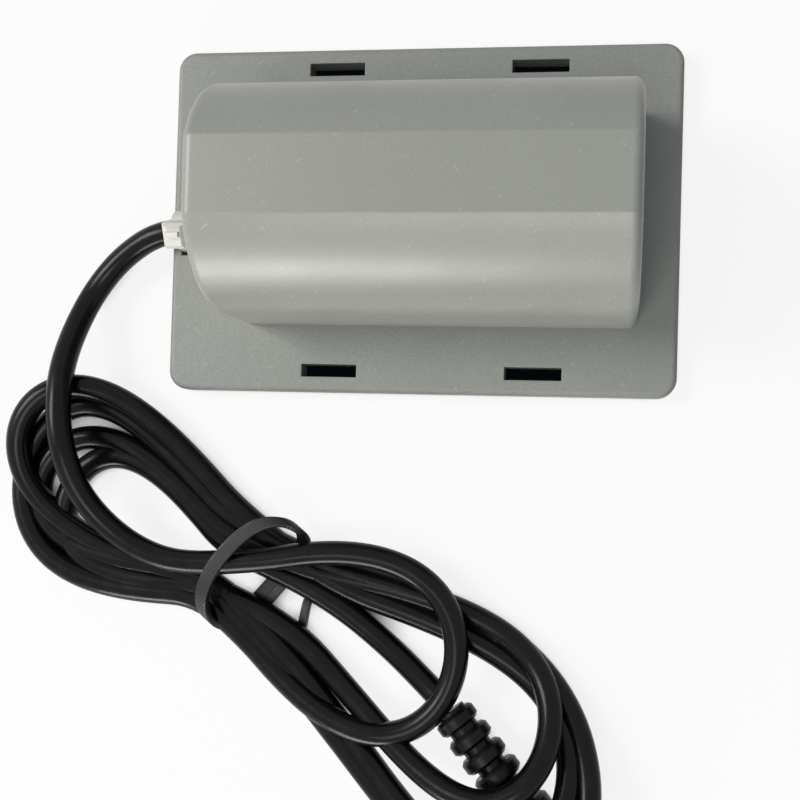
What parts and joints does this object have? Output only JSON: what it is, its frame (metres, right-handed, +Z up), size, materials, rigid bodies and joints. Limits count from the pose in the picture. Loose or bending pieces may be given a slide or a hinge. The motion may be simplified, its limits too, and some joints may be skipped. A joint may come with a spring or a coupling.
{
  "type": "vibration motor",
  "caption": "Low-voltage vibration motor: unbalanced shaft under an arched cover on a slotted base plate, with a tied lead and barrel plug.",
  "frame": {"origin": "middle of the base plate's underside, on the surface it stands on", "axes": "+X along the motor shaft, away from the lead; +Y across the plate, away from the wound lead; +Z up, through the crown of the cover"},
  "size_m": [0.1328, 0.1687, 0.0387],
  "materials": {
    "grey_moulding": "satin, fine texture",
    "screw_steel": "bright zinc",
    "black_screw": "black oxide",
    "rubber_ring": "matt",
    "zinc_strap": "zinc plated",
    "motor_steel": "zinc plated",
    "end_cap_plastic": "matt",
    "bronze": "sintered",
    "ferrite": "matt grey",
    "spring_steel": "satin",
    "shaft_steel": "ground",
    "core_steel": "coated laminations",
    "enamelled_copper": "enamelled",
    "copper": "satin",
    "nylon": "natural",
    "carbon": "matt",
    "brass_tab": "satin",
    "ceramic": "gloss",
    "zinc_weight": "die cast",
    "red_core": "gloss",
    "black_core": "gloss",
    "black_jacket": "satin",
    "tie_paper": "matt",
    "plug_moulding": "satin",
    "nickel": "nickel plated"
  },
  "bodies": {
    "housing": {"base_plate": "grey_moulding", "bearing_front": "bronze", "bearing_rear": "bronze", "brush_arm_far": "copper", "brush_arm_near": "copper", "cable_tie": "nylon", "carbon_brush_far": "carbon", "carbon_brush_near": "carbon", "clamp_screws": "screw_steel", "clamp_strap_left": "zinc_strap", "clamp_strap_right": "zinc_strap", "cord_hank": "black_jacket", "cord_lead": "black_jacket", "cover_screws": "screw_steel", "end_cap": "end_cap_plastic", "housing_cover": "grey_moulding", "lead_black": "black_core", "lead_red": "red_core", "magnet_clips": "spring_steel", "magnet_lower": "ferrite", "magnet_upper": "ferrite", "motor_can": "motor_steel", "plug_barrel": "nickel", "plug_body": "plug_moulding", "plug_contact": "nickel", "plug_insulator": "plug_moulding", "rubber_ring_left": "rubber_ring", "rubber_ring_right": "rubber_ring", "suppression_capacitor": "ceramic", "terminal_far": "brass_tab", "terminal_near": "brass_tab", "twist_tie": "tie_paper"},
    "rotor": {"motor_shaft": "shaft_steel", "armature_core": "core_steel", "windings": "enamelled_copper", "commutator_core": "end_cap_plastic", "commutator_segments": "copper", "thrust_washers": "nylon", "weight_left": "zinc_weight", "weight_right": "zinc_weight", "set_screws": "black_screw"}
  },
  "joints": [
    {"name": "rotor_spin", "type": "hinge", "parent": "housing", "child": "rotor", "pos_m": [0.0038, 0, 0.019], "axis": [1, 0, 0], "continuous": true}
  ]
}
